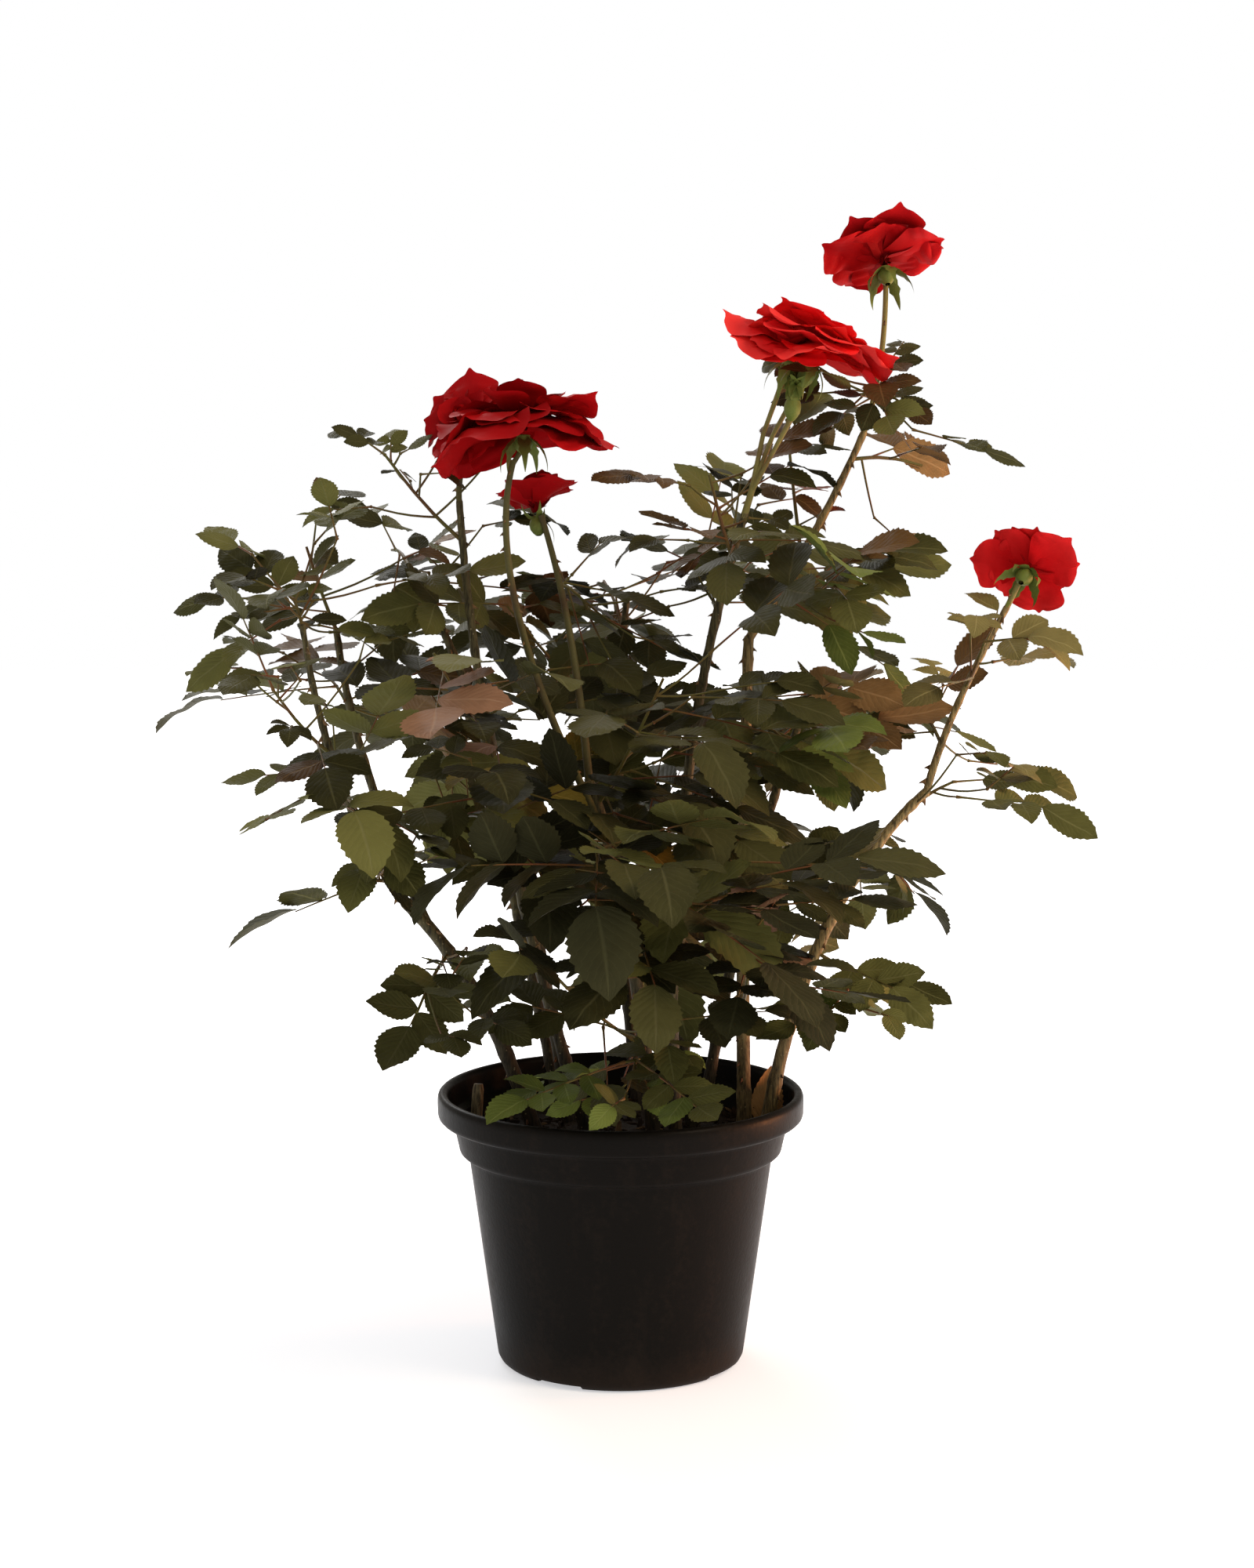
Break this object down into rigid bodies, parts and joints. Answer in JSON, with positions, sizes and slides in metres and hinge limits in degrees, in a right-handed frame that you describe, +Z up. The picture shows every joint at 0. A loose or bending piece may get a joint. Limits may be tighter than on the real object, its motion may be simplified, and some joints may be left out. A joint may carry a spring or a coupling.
{
  "type": "potted rose bush",
  "caption": "Container-grown rose bush in a round plastic nursery pot: arching prickly canes, open compound leaves and red double blooms.",
  "frame": {"origin": "centre of the pot's flat underside", "axes": "+Z up out of the pot; the side the plant faces is -Y; +X to its right as seen from the front"},
  "size_m": [0.6214, 0.5864, 0.7457],
  "materials": {
    "pot_plastic": "near-black moulded plastic with a satin sheen",
    "potting_mix": "dark moist bark and peat potting mix",
    "dead_wood": "dry pale dead cane",
    "cane_bark": "dark brown-purple rose bark",
    "cane_green": "young olive-green rind",
    "leaf_green": "dark olive green leaves, slightly glossy above",
    "leaf_pale": "lighter green leaves",
    "leaf_new": "reddish new growth",
    "leaf_brown": "tan and brown old leaves",
    "petal_red": "velvety red petals"
  },
  "bodies": {
    "root": {"pot": "pot_plastic", "soil": "potting_mix", "dead_stub": "dead_wood", "cane_left": "cane_bark", "left_outer": "cane_green", "left_inner": "cane_green", "cane_upper_left": "cane_bark", "cane_bloom_left": "cane_bark", "cane_mid": "cane_bark", "cane_centre": "cane_bark", "cane_bloom_right": "cane_bark", "cane_top_right": "cane_bark", "bough_top_right": "cane_green", "cane_far_right": "cane_bark", "bough_far_right": "cane_green", "cane_back_left": "cane_bark", "cane_back": "cane_bark", "cane_back_right": "cane_bark", "far_left_high": "leaf_pale", "left_top": "leaf_green", "far_left_low": "leaf_green", "left_shelf": "leaf_green", "left_mid": "leaf_green", "left_low": "leaf_green", "left_skirt": "leaf_green", "upper_left": "leaf_green", "top_left_twig": "leaf_green", "mid_left_high": "leaf_green", "left_inner_mid": "leaf_green", "centre_left": "leaf_green", "centre_top": "leaf_green", "centre_high": "leaf_green", "centre_mid": "leaf_green", "centre_front": "leaf_green", "front_left": "leaf_green", "low_centre": "leaf_green", "sprig_front": "leaf_pale", "mid_right_top": "leaf_green", "mid_right": "leaf_green", "right_upper": "leaf_green", "top_right_leaves": "leaf_green", "top_right_side": "leaf_green", "new_growth": "leaf_new", "right_mid": "leaf_green", "right_brown": "leaf_brown", "right_low": "leaf_green", "right_skirt": "leaf_green", "far_right_leaf": "leaf_green", "far_right_top": "leaf_green", "back_left": "leaf_green", "back_top": "leaf_green", "back_right": "leaf_green", "back_low": "leaf_green", "front_right": "leaf_green", "bloom_top_right": "petal_red", "blooms_right": "petal_red", "bloom_left_outer": "petal_red", "bloom_left": "petal_red", "bud_left": "petal_red", "bloom_far_right": "petal_red"}
  },
  "joints": []
}
